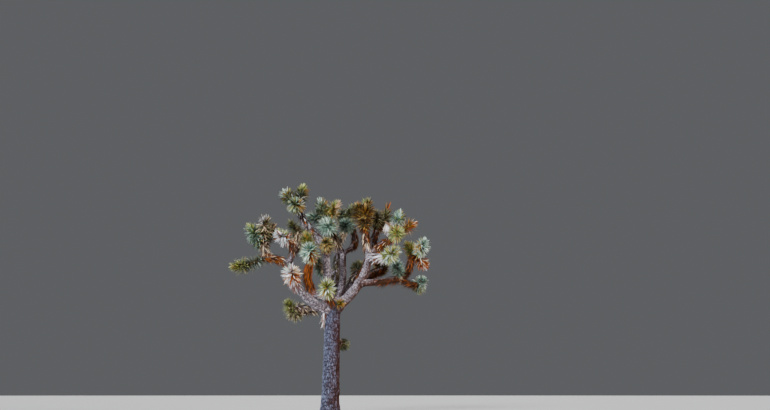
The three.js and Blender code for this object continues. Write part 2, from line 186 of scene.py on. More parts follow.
def drop_scraps(bm):
    """Deletes the tiny hollows that tubes close in between them at a fork."""
    unseen = dict.fromkeys(bm.verts)
    while unseen:
        island = [unseen.popitem()[0]]
        for vert in island:
            for edge in vert.link_edges:
                other = edge.other_vert(vert)
                if other in unseen:
                    del unseen[other]
                    island.append(other)
        if len(island) < SCRAP:
            bmesh.ops.delete(bm, geom=island, context="VERTS")


def fuse(piece, voxel):
    """Joins the tubes of a piece into one even skin, and smooths the creases at its forks."""
    remesh = piece.modifiers.new("skin", "REMESH")
    remesh.mode = "VOXEL"
    remesh.voxel_size = voxel
    evaluated = piece.evaluated_get(bpy.context.evaluated_depsgraph_get())
    bm = bmesh.new()
    bm.from_mesh(evaluated.to_mesh())
    evaluated.to_mesh_clear()
    drop_scraps(bm)
    for _ in range(SMOOTHINGS):
        bmesh.ops.smooth_vert(
            bm, verts=bm.verts, factor=0.5, use_axis_x=True, use_axis_y=True, use_axis_z=True
        )
    piece.modifiers.clear()
    bm.to_mesh(piece.data)
    bm.free()


# The limbs' lines come next, because the bark swells where one limb leaves another.
TAPER = 0.8
COLLAR = 0.22
COLLAR_LENGTH = 2
SUNK = 0.85
# name: [on, at, heading, climb, length, turn, rise, foot radius]
LIMBS = {
    "bough_right": ["trunk",                  0.96,  -10,  30, 1.82, -25,  50, 0.148],
    "bough_left": ["trunk",                   0.93, -160,  10, 1.84, -10,  65, 0.126],
    "bough_left_saddle": ["trunk",           0.985, -160,  50, 0.60,  -5, -45, 0.096],
    "bough_centre": ["trunk",                 0.99, -120,  55, 1.58,   0,  35, 0.116],
    "bough_middle": ["trunk",                 0.99,    0,  60, 1.62, 150,  30, 0.110],
    "bough_back": ["trunk",                   0.97,   80,  55, 2.38,  15,   5, 0.124],
    "bough_front": ["trunk",                  0.97, -100,  20, 0.82,  -5,   0, 0.076],
    "limb_left_inner": ["bough_left_saddle",     1, -150,  50, 1.04, 100,   0, 0.078],
    "limb_top_left": ["bough_centre",            1,  155,  45, 1.66, -15,  15, 0.076],
    "limb_middle_left": ["bough_middle",         1, -150,  40, 0.86,  25,  35, 0.068],
    "limb_middle_right": ["bough_middle",        1,   15,  30, 1.18, 110,  40, 0.068],
    "limb_back_left": ["bough_back",          0.55,  120,  15, 0.84,   0,  20, 0.074],
    "limb_back_far": ["bough_back",              1,   65,  65, 1.00,   5, -20, 0.068],
    "bough_right_low": ["bough_right",        0.55,  -10,  -5, 1.20,  35,  30, 0.092],
    "limb_low_outer": ["bough_right_low",        1,  -20, -55, 0.46,  25,  60, 0.058],
    "limb_low_rise": ["bough_right_low",         1,   15,  35, 0.76,  30,  50, 0.062],
    "limb_right_top": ["bough_right",            1,  160,  65, 0.66, -35,  25, 0.080],
    "limb_right_up": ["bough_right",             1,   30,  40, 0.98,  -5,   0, 0.078],
    "limb_right_front": ["bough_right",       0.92,  -55,   5, 0.74,  -5, -25, 0.070],
    "limb_right_dark": ["bough_right",        0.65,   45,  20, 1.10,  20,   5, 0.078],
    "limb_right_back": ["bough_right",           1,   85,  30, 1.62, -20,  25, 0.078],
    "limb_back_right": ["bough_right",        0.12,   60,  50, 1.78,  15, -15, 0.092],
    "limb_left_low": ["bough_left",            0.2,  135,  -5, 0.86,   5,  20, 0.076],
    "limb_far_left": ["bough_left",              1,  165,  40, 0.76,  20, -55, 0.068],
    "limb_left_top": ["limb_far_left",        0.75,  145,  60, 0.46, -20, -10, 0.054],
    "limb_left_up": ["bough_left",               1,  -10,  55, 0.68,  55,  70, 0.066],
    "limb_left_back": ["limb_left_up",         0.3,   70,  45, 1.12,  35, -10, 0.054],
    "limb_trunk": ["trunk",                   0.68,   55, -10, 0.44,   0,   0, 0.058],
}
for name, (on, at, heading, climb, length, turn, rise, foot) in LIMBS.items():
    carrier = limbs[on]
    limbs[name] = Limb(
        line=Line(carrier.line.point_at(at), heading, climb, length, turn, rise),
        foot=foot,
        tip=foot * TAPER**length,
        sunk=SUNK * (carrier.foot + (carrier.tip - carrier.foot) * at),
    )


def radius_at(limb, distance):
    """A limb's radius at distances along it, with the collar where it leaves its carrier."""
    share = np.clip(distance / limb.line.length, 0, 1)
    collar = np.clip(1 - (distance - limb.sunk) / (COLLAR_LENGTH * limb.foot), 0, 1)
    return limb.foot + (limb.tip - limb.foot) * share + COLLAR * limb.foot * collar**2


def skin_distances(points, limb):
    """How far points lie from a limb's skin, and their distances along its line."""
    nearest = np.full(len(points), np.inf)
    along = np.zeros(len(points))
    for i in range(LINE_STEPS):
        start = limb.line.points[i]
        step = limb.line.points[i + 1] - start
        share = np.clip((points - start) @ step / (step @ step), 0, 1)
        away = np.linalg.norm(points - start - share[:, None] * step, axis=1)
        closer = away < nearest
        nearest = np.where(closer, away, nearest)
        along = np.where(closer, (i + share) / LINE_STEPS * limb.line.length, along)
    if limb is limbs["trunk"]:
        return nearest - trunk_radius(along), along
    return nearest - radius_at(limb, along), along


# Some limbs are paler than others, partly bleached by wind and sun and partly by painted light,
# and one side is paler most of all, as painted light.
BLEACH_AND_LIGHT = {
    "trunk": 0.14, "bough_left_saddle": 1.1, "bough_left": 0.45, "bough_centre": 1.2,
    "bough_right": 0.35, "limb_right_top": 0.5, "limb_left_up": 0.4, "bough_right_low": -0.35,
    "bough_middle": 0.2, "limb_low_outer": -0.2, "limb_middle_right": 0.0,
}
MOST_WEATHER = 0.25  # of the other limbs
WEATHER_REACH = 0.09  # over which one limb's bark passes into the next one's
# Bark facing this way is painted paler, by this much, as if lit from there: painted light.
PAINTED_LIGHT_FROM = np.array([-0.85, -0.2, 0.45])
PAINTED_LIGHT_STRENGTH = 0.55
BLEND = 0.55  # how far from a fork its fillet starts, in radii of the thinner limb


def on_limbs(points, names):
    """For each point on the bark: its limb's number, the distance along it, the angle round
    it, how far the fillet between that limb and the others lifts the skin there, and how
    pale it is, partly from bleaching and partly as painted light."""
    depths = {name: skin_distances(points, limb) for name, limb in limbs.items()}
    own = np.argmin([np.abs(depths[name][0]) for name in names], axis=0)
    weights = [np.exp(-np.maximum(depths[name][0], 0) / WEATHER_REACH) for name in limbs]
    bleach_and_limb_light = np.array([BLEACH_AND_LIGHT.get(name, MOST_WEATHER) for name in limbs]) @ np.array(weights)
    along, angle, lift = np.zeros((3, len(points)))
    for number, name in enumerate(names):
        here = own == number
        limb = limbs[name]
        along[here] = depths[name][1][here]
        share = along[here] / limb.line.length
        side, up, _ = limb.line.axes_at(share)
        offset = points[here] - limb.line.point_at(share)
        angle[here] = np.arctan2(np.sum(offset * up, axis=1), np.sum(offset * side, axis=1))
        for other, (depth, _) in depths.items():
            if other == name:
                continue
            reach = BLEND * min(limb.foot, limbs[other].foot)
            fillet = np.maximum(reach - np.abs(depth[here]), 0) ** 2 / (4 * reach)
            lift[here] = np.maximum(lift[here], fillet)
    return own, along, angle, lift, bleach_and_limb_light / np.sum(weights, axis=0)


# Bark is split into cells, bent by broad lumps and made ragged by small ones. Each holds a
# plate between cracks, and each plate is split into smaller ones by shallow cracks.
CELL_SCATTER = 0.8
CELL_SHIFT = 17  # rows of cells between one limb's pattern and the next one's
CELL_BEND = 0.7
CELL_RAG = 0.3
FEWEST_CELLS = 6  # round a limb
INNER_CELLS = (2, 2.3)  # in each cell, round the limb and along it
PLATE_EDGE = 0.5  # how far from its crack a plate has its full height, in cells
PLATE_HEIGHT = 0.55  # of the lowest plate, and the next four like it in depths of the relief
PLATE_RANGE = 0.7
INNER_HEIGHT = 0.3
RAG_HEIGHT = 0.25
CRACK_DEPTH = 0.85
INNER_CRACK = 0.3  # how dark it is, where a plate's crack is 1
INNER_TONE = 0.4
LUMPS = (0.22, 0.09)


def scramble(column, row, seed):
    """Numbers between 0 and 1 that belong to cells and look like chance: what is left after
    the point of a sine that has been made very large."""
    return np.mod(np.sin(column * 127.1 + row * 311.7 + seed * 74.7) * 43758.5453, 1)


def crack_cells(u, v, around, seed):
    """Splits the bark into uneven cells, as many round the limb as around says. Gives how
    far each point is from its cell's edge, in cells, and a number for its cell."""
    column, row = np.floor(u), np.floor(v)
    first, second = np.full((2, *u.shape), np.inf)
    number = np.zeros(u.shape)
    for i in (-1, 0, 1):
        for j in (-1, 0, 1):
            at = np.mod(column + i, around), row + j
            middle_u = column + i + 0.5 + CELL_SCATTER * (scramble(*at, seed) - 0.5)
            middle_v = row + j + 0.5 + CELL_SCATTER * (scramble(*at, seed + 1) - 0.5)
            away = np.hypot(middle_u - u, middle_v - v)
            closer = away < first
            second = np.where(closer, first, np.minimum(second, away))
            number = np.where(closer, scramble(*at, seed + 2), number)
            first = np.minimum(first, away)
    return second - first, number


def lumps(points, scale, seed):
    """Soft noise between about -1 and 1 at points, with lumps of the size of the scale."""
    shift = Vector((seed, 2 * seed, 3 * seed))
    return np.array([noise.noise(Vector(point) / scale + shift) for point in points])


def dome(edge):
    """How far a plate has risen at a distance from its edge, from 0 in the crack to 1."""
    return 1 - (1 - np.clip(edge / PLATE_EDGE, 0, 1)) ** 2


def keep(mesh, **numbers):
    """Keeps numbers for the points of a mesh as attributes, for its colours."""
    for label, values in numbers.items():
        values = values.astype(np.float32).ravel()
        mesh.attributes.new(label, "FLOAT", "POINT").data.foreach_set("value", values)


def raise_relief(piece, names, plate, depth, lump):
    """Moves a piece's skin out into bark: fillets at the forks, lumps, and plates between
    cracks. Keeps the cracks and the plates' numbers as attributes for the colours."""
    mesh = piece.data
    count = len(mesh.vertices)
    points = np.empty(3 * count)
    mesh.vertices.foreach_get("co", points)
    points = points.reshape(-1, 3)
    normals = np.empty(3 * count, np.float32)
    mesh.vertex_normals.foreach_get("vector", normals)
    normals = normals.reshape(-1, 3)
    own, along, angle, lift, bleach_and_limb_light = on_limbs(points, names)
    feet = np.array([limbs[name].foot for name in names])[own]
    around = np.maximum(np.round(2 * math.pi * feet / plate[0]), FEWEST_CELLS)
    bend = lumps(points, 2 * plate[1], 5)
    rag = lumps(points, 0.4 * plate[0], 6)
    tall = along / plate[1] + CELL_SHIFT * own + CELL_BEND * bend + CELL_RAG * rag
    wide = angle / (2 * math.pi) * around + CELL_BEND * bend - CELL_RAG * rag
    edge, number = crack_cells(wide, tall, around, 3)
    columns, rows = INNER_CELLS
    inner_edge, inner_number = crack_cells(columns * wide, rows * tall, columns * around, 11)
    plates, inner = dome(edge), dome(inner_edge)
    relief = plates * (PLATE_HEIGHT + PLATE_RANGE * number) + INNER_HEIGHT * inner
    relief = depth * (relief + RAG_HEIGHT * rag - CRACK_DEPTH)
    swell = lump * (lumps(points, LUMPS[0], 1) + 0.5 * lumps(points, LUMPS[1], 2))
    ridge = np.zeros(count)
    if names == ["trunk"]:
        fade = np.exp(-np.maximum(points[:, 2], 0) / FLARE_HEIGHT)
        ridge = ROOT_RIDGE_DEPTH * TRUNK_RADIUS * fade * np.cos(ROOT_RIDGES * angle)
    points += normals * (lift + relief + swell + ridge)[:, None]
    mesh.vertices.foreach_set("co", points.ravel())
    keep(
        mesh,
        crack=plates * (1 - INNER_CRACK + INNER_CRACK * inner),
        plate=(1 - INNER_TONE) * number + INNER_TONE * inner_number,
        # Paleness: each limb's own, partly bleaching and partly painted light, and painted light
        # on the side facing left, forward and up.
        weather=bleach_and_limb_light + PAINTED_LIGHT_STRENGTH * (normals @ PAINTED_LIGHT_FROM),
    )
    mesh.update()


trunk = new_piece("bark_trunk", bm)
fuse(trunk, TRUNK_VOXEL)
raise_relief(trunk, ["trunk"], plate=(0.044, 0.094), depth=0.014, lump=0.012)
bm = bmesh.new()
bm.from_mesh(trunk.data)
whole = bm.verts[:] + bm.edges[:] + bm.faces[:]
cut = bmesh.ops.bisect_plane(
    bm, geom=whole, plane_co=(0, 0, 0), plane_no=(0, 0, 1), clear_inner=True
)
rim = [g for g in cut["geom_cut"] if isinstance(g, bmesh.types.BMEdge)]
bmesh.ops.edgeloop_fill(bm, edges=rim)
bmesh.ops.recalc_face_normals(bm, faces=bm.faces)
bm.to_mesh(trunk.data)
bm.free()


def add_node(tree, kind, inputs=None, **settings):
    """A new shader node. Each of its inputs is given a value, or the socket that it is linked
    from."""
    node = tree.nodes.new(f"ShaderNode{kind}")
    for name, value in settings.items():
        setattr(node, name, value)
    for name, value in (inputs or {}).items():
        if isinstance(value, bpy.types.NodeSocket):
            tree.links.new(value, node.inputs[name])
        else:
            node.inputs[name].default_value = value
    return node


def mix(tree, share, first, second, blend="MIX"):
    """Two colours mixed by a share."""
    inputs = {0: share, 6: first, 7: second}
    return add_node(tree, "Mix", inputs, data_type="RGBA", blend_type=blend).outputs[2]


def work_out(tree, operation, *numbers):
    """The result of a Math node."""
    return add_node(tree, "Math", dict(enumerate(numbers)), operation=operation).outputs[0]


def spread(tree, value, low, high, to_low=0, to_high=1):
    """A value moved from the range between two numbers to the range between two others."""
    ends = {"From Min": low, "From Max": high, "To Min": to_low, "To Max": to_high}
    return add_node(tree, "MapRange", {"Value": value, **ends}).outputs[0]


def cloud(tree, scale, detail, roughness=0.5):
    """The outputs of a soft noise that is fixed to the piece."""
    place = add_node(tree, "TexCoord").outputs["Object"]
    inputs = {"Vector": place, "Scale": scale, "Detail": detail, "Roughness": roughness}
    return add_node(tree, "TexNoise", inputs).outputs


def own_number(tree, label):
    """The numbers that a mesh keeps under a label."""
    return add_node(tree, "Attribute", attribute_name=label).outputs["Fac"]


def new_group(name, **inputs):
    """A node group with named inputs, colours and numbers, and their sockets inside it."""
    group = bpy.data.node_groups.new(name, "ShaderNodeTree")
    for label, default in inputs.items():
        kind = "NodeSocketColor" if isinstance(default, tuple) else "NodeSocketFloat"
        socket = group.interface.new_socket(label, in_out="INPUT", socket_type=kind)
        socket.default_value = default
    return group, group.nodes.new("NodeGroupInput").outputs


def give_out(group, **sockets):
    """Ends a group with named outputs, each from a socket inside it."""
    for label, socket in sockets.items():
        kind = "NodeSocketColor" if socket.type == "RGBA" else "NodeSocketFloat"
        group.interface.new_socket(label, in_out="OUTPUT", socket_type=kind)
    node = group.nodes.new("NodeGroupOutput")
    for label, socket in sockets.items():
        group.links.new(socket, node.inputs[label])


def new_material(name):
    """A material, its node tree and its shader."""
    material = bpy.data.materials.new(name)
    material.use_nodes = True
    return material, material.node_tree, material.node_tree.nodes["Principled BSDF"]


def make_finish(name, group, gloss, bump=None, **values):
    """A material with the colour and roughness of a group at the given values, and with bumps
    of the given depth from its height."""
    material, tree, shader = new_material(name)
    inputs = {k: (*v, 1) if isinstance(v, tuple) else v for k, v in values.items()}
    surface = add_node(tree, "Group", inputs, node_tree=group).outputs
    tree.links.new(surface["Color"], shader.inputs["Base Color"])
    tree.links.new(surface["Roughness"], shader.inputs["Roughness"])
    if bump:
        inputs = {"Strength": 0.8, "Distance": bump, "Height": surface["Height"]}
        tree.links.new(add_node(tree, "Bump", inputs).outputs["Normal"], shader.inputs["Normal"])
    shader.inputs["Specular IOR Level"].default_value = gloss
    return material


# Bark's colours: plates that differ in grey and brown, dark and reddish cracks between them,
# hairline cracks within them, pale patches that are partly bleaching and partly painted light,
# most on the left, front and upper side, and a fine corky grain.
BARK_GLOSS = 0.25
BARK_BUMP = 0.008
bark, given = new_group(
    "cracked_bark", Plate=(0.2, 0.16, 0.13, 1), Pale=(0.4, 0.35, 0.32, 1),
    Crack=(0.04, 0.02, 0.015, 1), Grain=90.0,
)
crack, plate, weather = (own_number(bark, label) for label in ("crack", "plate", "weather"))
patches = cloud(bark, 4.0, 5.0)["Fac"]
grain = cloud(bark, given["Grain"], 6.0, 0.7)
place = add_node(bark, "TexCoord").outputs["Object"]
bent = add_node(bark, "Mix", {0: 0.06, 4: place, 5: grain["Color"]}, data_type="VECTOR").outputs[1]
fine = add_node(bark, "TexVoronoi", {"Vector": bent, "Scale": 48.0}, feature="DISTANCE_TO_EDGE")
hairline = spread(bark, fine.outputs["Distance"], 0, 0.16, 1, 0)
hairline = work_out(bark, "MULTIPLY", hairline, 0.45)
mottled = work_out(bark, "ADD", patches, work_out(bark, "MULTIPLY", plate, 0.6))
# Towards the pale colour by mottling and by the paleness kept on the mesh, which is partly painted
# light.
bleached = spread(bark, work_out(bark, "ADD", mottled, weather), 0.60, 1.45)
body = mix(bark, bleached, given["Plate"], given["Pale"])
shade = spread(bark, grain["Fac"], 0.3, 0.7, 0.5, 1.3)
lit = work_out(bark, "MULTIPLY_ADD", plate, 1.1, 0.45)
grained = mix(bark, 1.0, body, work_out(bark, "MULTIPLY", shade, lit), "MULTIPLY")
cracks = work_out(bark, "MAXIMUM", spread(bark, crack, 0.15, 0.95, 1, 0), hairline)
give_out(
    bark,
    Color=mix(bark, cracks, grained, given["Crack"]),
    Roughness=spread(bark, grain["Fac"], 0.3, 0.7, 0.95, 0.78),
    Height=work_out(bark, "SUBTRACT", grain["Fac"], hairline),
)
# Its pale colour is blue: painted cool light, which shows most on the trunk's left side.
trunk.data.materials.append(make_finish(
    "bark_of_trunk", bark, BARK_GLOSS, BARK_BUMP, Grain=60,
    Plate=(0.075, 0.024, 0.019), Pale=(0.165, 0.185, 0.285), Crack=(0.016, 0.005, 0.004),
))
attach(trunk, "root")
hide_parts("trunk")

# Boughs and limbs
# Forked arms of the same wood. Their bark is younger, with smaller and shallower plates.
# Each arm swells in a collar where it leaves what carries it, and tapers to its tip.
BOUGH_VOXEL = 0.009
SUNK_RADIUS = 0.62  # of the end inside the carrier, in radii of the foot
BARK_PIECES = {
    "bark_left": "bough_left bough_left_saddle limb_left_inner limb_far_left limb_left_top "
                 "limb_left_up limb_left_back limb_left_low",
    "bark_middle": "bough_centre bough_middle bough_front limb_top_left limb_middle_left "
                   "limb_middle_right limb_trunk",
    "bark_back": "bough_back limb_back_left limb_back_far limb_back_right",
    "bark_right": "bough_right bough_right_low limb_low_outer limb_low_rise limb_right_top "
                  "limb_right_up limb_right_front limb_right_dark limb_right_back",
}


def limb_places(limb):
    """Places of the circles of a limb, from inside its carrier to its domed tip."""
    line = limb.line
    shown = np.arange(limb.sunk, line.length, TUBE_RING)
    rows = [(0, SUNK_RADIUS * limb.foot)] + [(d, radius_at(limb, d)) for d in shown]
    places = []
    for distance, radius in rows:
        share = distance / line.length
        places.append(ring_place(line.point_at(share), *line.axes_at(share), radius))
    return places + round_end(line, limb.tip)


# Their pale colour is lilac: bleached bark tinted by painted cool light, most on the palest limbs
# and their left sides.
bough_bark = make_finish(
    "bark_of_boughs", bark, BARK_GLOSS, BARK_BUMP, Grain=80,
    Plate=(0.120, 0.048, 0.030), Pale=(0.51, 0.45, 0.51), Crack=(0.022, 0.007, 0.005),
)
for piece_name, names in BARK_PIECES.items():
    names = names.split()
    bm = bmesh.new()
    for name in names:
        grow_tube(bm, limb_places(limbs[name]))
    piece = new_piece(piece_name, bm)
    fuse(piece, BOUGH_VOXEL)
    raise_relief(piece, names, plate=(0.044, 0.076), depth=0.010, lump=0.009)
    piece.data.materials.append(bough_bark)
    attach(piece, "root")
    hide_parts(*names)

# Stems
# The last and youngest stretch of each arm, which carries a head of leaves or forks into
# twigs with a head each. It is smooth, pithy and brown under the dead leaves that cover it.
STEM_RADIUS = 0.046
STEM_FIT = 0.9
STEM_FOOT_LIMIT = 1.4
STEM_SIDES = 14
STEM_RING = 0.04
STEM_OVERLAP = 0.03  # how far a stem's foot starts inside the limb
FORK_END = (0.6, 0.7)  # length and radius of a forked stem's blunt end, in radii of its foot
TWIG_TIP = 0.75  # radii at a head's middle and at the bud's point, in radii of a stem
BUD_POINT = 0.08
BUD_LENGTH = 0.3  # of the growing tip past a head's middle, in reaches
TWIG_LIFT = 25
TWIG_SCATTER = 60
SPLAY_SHARES = (0.7, 1.3)
TWIG_SHARES = (0.75, 1.25)

# name: [heading, climb, stem length, reach, seed, [heads, splay, spin, twig length]]
MASSES = {
    "far_left":     [-175, -40, 0.64, 0.26, 30],
    "left_top":     [ 160,  70, 0.12, 0.29, 14, [4, 50, 210, 0.46]],
    "left_up":      [-140,   5, 0.32, 0.26, 32],
    "left_back":    [  90,  55, 0.46, 0.27, 24, [2, 85, 210, 0.28]],
    "top_left":     [-115,  50, 0.12, 0.28, 19, [3, 80, 150, 0.46]],
    "left_inner":   [-105,  40, 0.12, 0.28, 20, [2, 35, 180, 0.40]],
    "left_side":    [ -95,   5, 0.44, 0.29, 36],
    "left_low":     [ 135, -25, 0.20, 0.27, 26, [2, 75, 220, 0.24]],
    "front":        [ -90,  20, 0.22, 0.27, 38],
    "centre":       [ -90, -10, 0.40, 0.23, 39],
    "middle_left":  [-130,  15, 0.34, 0.29, 28, [4, 75, 230, 0.40]],
    "middle_right": [-125,  30, 0.28, 0.28, 19, [3, 70, 160, 0.34]],
    "back":         [ 175,  65, 0.60, 0.29, 42],
    "back_left":    [ 115,  10, 0.22, 0.26, 19, [2, 70, 190, 0.18]],
    "back_far":     [ 100,  60, 0.34, 0.29,  6, [2, 60, 240, 0.34]],
    "right_top":    [-155,  80, 0.18, 0.30, 14, [3, 20, 90, 0.58]],
    "right_back":   [ -60,  65, 0.12, 0.29, 20, [2, 50, 260, 0.50]],
    "right_up":     [ -70,  35, 0.24, 0.29,  7, [4, 75, 210, 0.38]],
    "right_front":  [ -50,   5, 0.28, 0.27, 48],
    "low_rise":     [   0,  20, 0.20, 0.26,  3, [3, 85, 160, 0.38]],
    "low":          [-125,  40, 0.40, 0.25, 50],
    "low_outer":    [  45,  10, 0.16, 0.23, 24, [2, 85, 310, 0.20]],
    "right_dark":   [  95,  25, 0.18, 0.26,  5, [2, 55, 250, 0.18]],
    "back_right":   [  80,  30, 0.42, 0.27, 53],
    "trunk":        [  60, -20, 0.22, 0.19, 54],
}
# Each grows from the tip of the limb of its name, apart from these.
CARRIERS = {
    "left_side": ("bough_left", 0.75), "front": ("bough_front", 1), "centre": ("bough_centre", 1),
    "back": ("bough_back", 1), "low": ("bough_right_low", 1),
}


def dice(seed):
    """A seeded row of numbers between 0 and 1, the same as the solids have."""
    modulus, factor, step = 2147483647, 16807, 811290697
    state = seed * step % modulus
    while True:
        state = state * factor % modulus
        yield state / modulus


def lift_of(climb):
    """How far a twig turns up along its length: all the way if it is level."""
    return TWIG_LIFT * max(0, 1 - climb / 90)


def grow_twigs(stem, fork, roll):
    """The lines of the twigs of a forked stem."""
    count, splay, spin, twig_length = fork
    side, up, along = stem.axes_at(1)
    for i in range(count):
        around = math.radians(spin + 360 * i / count + (next(roll) - 0.5) * TWIG_SCATTER)
        apart = math.radians(splay * np.interp(next(roll), (0, 1), SPLAY_SHARES))
        length = twig_length * np.interp(next(roll), (0, 1), TWIG_SHARES)
        outward = up * math.cos(around) + side * math.sin(around)
        way = along * math.cos(apart) + outward * math.sin(apart)
        climb = math.degrees(math.asin(way[2]))
        heading = math.degrees(math.atan2(way[1], way[0]))
        yield Line(stem.point_at(1), heading, climb, length, rise=lift_of(climb))


def grow_stem(bm, line, radii):
    """A stem along a line to the last of its pairs of distance and radius."""
    end = radii[-1][0]
    count = max(2, round((end + STEM_OVERLAP) / STEM_RING))
    places = []
    for distance in np.linspace(-STEM_OVERLAP, end, count):
        share = distance / line.length
        radius = np.interp(distance, *zip(*radii))
        places.append(ring_place(line.point_at(share), *line.axes_at(share), radius))
    grow_tube(bm, places, STEM_SIDES)


heads = defaultdict(list)  # each one's line, reach, seed and number, by mass
forked_stems = {}
bm = bmesh.new()
for name, (heading, climb, length, reach, seed, *fork) in MASSES.items():
    on, at = CARRIERS.get(name, (f"limb_{name}", 1))
    carrier = limbs[on]
    limb_radius = carrier.foot + (carrier.tip - carrier.foot) * at
    radius = STEM_FIT * min(limb_radius, STEM_FOOT_LIMIT * STEM_RADIUS)
    rise = 0 if fork else lift_of(climb)
    lines = [Line(carrier.line.point_at(at), heading, climb, length, rise=rise)]
    if fork:
        stem = lines[0]
        forked_stems[name] = stem, seed
        longer, thinner = FORK_END
        end = (length + longer * radius, thinner * radius)
        grow_stem(bm, stem, [(0, radius), (length, radius), end])
        lines = list(grow_twigs(stem, fork[0], dice(seed)))
    for number, line in enumerate(lines):
        grow_stem(bm, line, [
            (0, radius), (0.5 * line.length, STEM_RADIUS), (line.length, TWIG_TIP * STEM_RADIUS),
            (line.length + BUD_LENGTH * reach, BUD_POINT * STEM_RADIUS),
        ])
        heads[name].append((line, reach, seed, number))

# Their skin has a fine grain of streaks and speckles.
fibre, given = new_group(
    "dry_fibre", Dark=(0.1, 0.06, 0.04, 1), Pale=(0.3, 0.2, 0.12, 1), Grain=60.0
)
grain = cloud(fibre, given["Grain"], 5.0, 0.7)["Fac"]
streak = spread(fibre, grain, 0.35, 0.65)
give_out(
    fibre,
    Color=mix(fibre, streak, given["Dark"], given["Pale"]),
    Roughness=spread(fibre, streak, 0, 1, 0.95, 0.75),
    Height=grain,
)
stems = new_piece("stems", bm)
stems.data.materials.append(make_finish(
    "skin_of_stems", fibre, 0.5, bump=0.004, Dark=(0.07, 0.035, 0.02), Pale=(0.26, 0.15, 0.08)
))
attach(stems, "root")

# Living leaves
# Stiff daggers with a keel, set round the end of each stem by the golden angle: upright in
# the middle of the head, level at its rim. Heads differ in colour, from blue-green to gold.
LIVING = 200  # leaves of a head
LIVING_WIDTH = 0.036
LIVING_THICKNESS = 0.007
LIVING_SAG = 0.02  # of a leaf's point
LIVING_BACK = (-0.08, 0.55)  # where they are rooted behind the head's middle, in reaches
LIVING_TILT = (4, 120)
CLOSED = {("low_rise", 0): (2, 60)}  # a head that hasn't opened
DEAD_HEADS = {("right_up", 1)}  # their leaves have sunk and hang about the stem
SINK = 2.4  # downwards, against the way that each leaf had
TILT_GROWTH = 0.75
TILT_SCATTER = 32
TURN_SCATTER = 60
GOLDEN_ANGLE = 137.5
LIVING_LENGTHS = (0.84, 1)  # from the middle to the rim, in reaches
LENGTH_SHARES = (0.72, 1.18)
WIDTH_SHARES = (0.8, 1.2)
OUTER_PLACES = (0.6, 1)  # along a leaf, where it has to be clear of all limbs
SLEEVE = 0.7  # reaches that living leaves go on back along most stems
SLEEVES = {
    "far_left": 2.0, "left_up": 0.3, "left_side": 0.2, "front": 0, "right_front": 0.4,
    "top_left": 1.1, "right_top": 1.5, "right_back": 1.2, "middle_left": 0.9,
}
SLEEVE_LEAVES = 170  # in each reach of it
SLEEVE_TILT = (60, 104)
SLEEVE_LENGTHS = (0.96, 0.82)
SLEEVE_SAG = 0.03

# Each living colour, how far its points are paled, partly as a painted highlight, and its slot
GREENS = {
    "blue_green":   ((0.14, 0.29, 0.24), 0.32, "leaves_blue_green"),
    "teal":         ((0.028, 0.075, 0.062), 0.32, "leaves_blue_green"),
    "pale_green":   ((0.52, 0.66, 0.60), 0.32, "leaves_blue_green"),
    "yellow_green": ((0.23, 0.27, 0.020), 0.30, "leaves_yellow_green"),
    "olive":        ((0.085, 0.078, 0.008), 0.20, "leaves_olive"),
    "gold":         ((0.32, 0.155, 0.006), 0.16, "leaves_olive"),
}
# The colour that leaf points are paled towards: partly a painted highlight.
PALE_LIT_TIP = (0.72, 0.74, 0.55)
LIVING_RANGE = 0.8  # how much lighter and darker than the rest a leaf may be
LIVING_GLOSS = 0.35

# Colours of each head, most leaves first, and of the sleeve behind it where that differs
COLOUR_SHARES = {2: (0.7, 0.3), 3: (0.58, 0.28, 0.14)}
HEAD_COLOURS = {
    "far_left": ["yellow_green olive gold"],
    "left_top": ["teal blue_green", "brown olive straw", "olive straw brown",
                 "blue_green yellow_green teal"],
    "left_up": ["bleached pale_green orange"],
    "left_back": ["teal olive", "olive teal"],
    "top_left": ["olive blue_green yellow_green", "olive yellow_green gold",
                 "olive yellow_green gold"],
    "left_inner": ["blue_green pale_green yellow_green", "yellow_green gold olive"],
    "left_side": ["bleached straw orange"],
    "left_low": ["olive straw brown", "yellow_green olive"],
    "front": ["yellow_green pale_green gold"],
    "centre": ["olive gold brown"],
    "middle_left": ["teal blue_green", "olive blue_green pale_green", "yellow_green gold olive",
                    "blue_green pale_green teal"],
    "middle_right": ["teal blue_green", "teal olive", "olive yellow_green teal"],
    "back": ["blue_green teal"],
    "back_left": ["teal blue_green", "teal olive"],
    "back_far": ["teal blue_green", "olive teal"],
    "right_top": ["gold olive brown", "olive gold brown", "gold olive brown"],
    "right_back": ["olive brown", "olive brown gold"],
    "right_up": ["yellow_green olive gold", "bleached straw",
                 "blue_green pale_green yellow_green", "gold orange straw"],
    "right_front": ["yellow_green pale_green gold"],
    "low_rise": ["orange straw bleached", "pale_green blue_green yellow_green",
                 "yellow_green gold"],
    "low": ["teal blue_green"],
    "low_outer": ["teal blue_green pale_green", "olive teal"],
    "right_dark": ["brown olive", "olive brown"],
    "back_right": ["olive teal"],
    "trunk": ["olive teal"],
}
SLEEVE_COLOURS = {
    "far_left": "olive teal pale_green",
    "top_left": "teal olive bleached",
    "right_top": "gold brown olive",
    "right_back": "olive brown brown",
}
